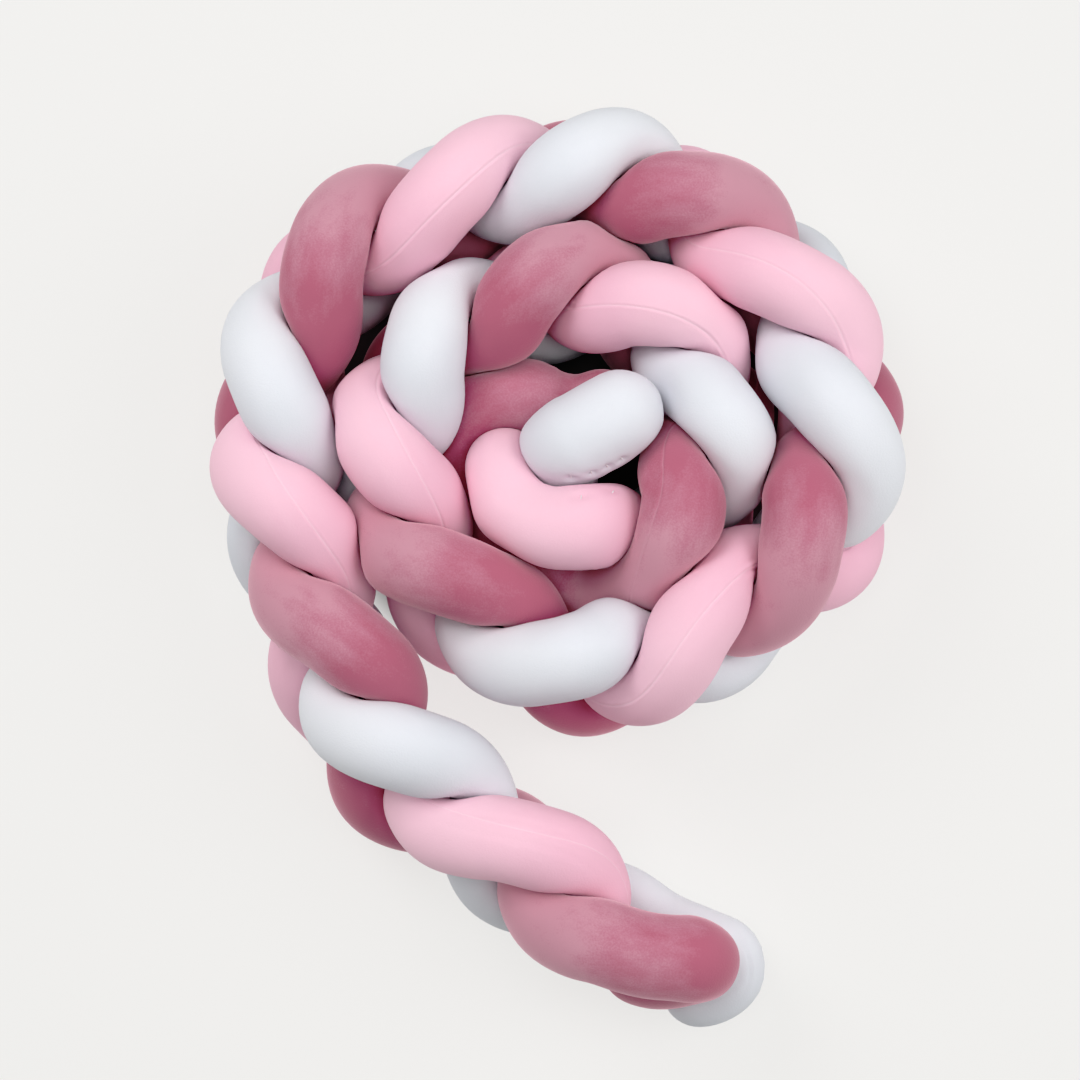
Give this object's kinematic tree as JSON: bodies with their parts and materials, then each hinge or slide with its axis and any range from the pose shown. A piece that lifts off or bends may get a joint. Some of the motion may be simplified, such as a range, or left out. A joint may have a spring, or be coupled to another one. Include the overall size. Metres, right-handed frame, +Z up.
{
  "type": "braided crib bumper",
  "caption": "Plaited crib bumper of stuffed velvet tubes in mauve, pink and white, standing on its edge and lying coiled with a short tail.",
  "frame": {"origin": "middle of the coil's and tail's bounding box, on the surface that the plait stands on", "axes": "+Z up, across the plait's width; +Y along the length, from the tail to the coil; +X to the right, seen from above"},
  "size_m": [0.4756, 0.6246, 0.1721],
  "materials": {
    "velvet_mauve": "short-pile velvet, dusty mauve, soft sheen where the nap is seen edge on",
    "velvet_pink": "short-pile velvet, pale pink, soft sheen",
    "velvet_white": "short-pile velvet, cool white, soft sheen"
  },
  "bodies": {
    "root": {"strand_mauve": "velvet_mauve", "strand_pink": "velvet_pink", "strand_white": "velvet_white"}
  },
  "joints": []
}
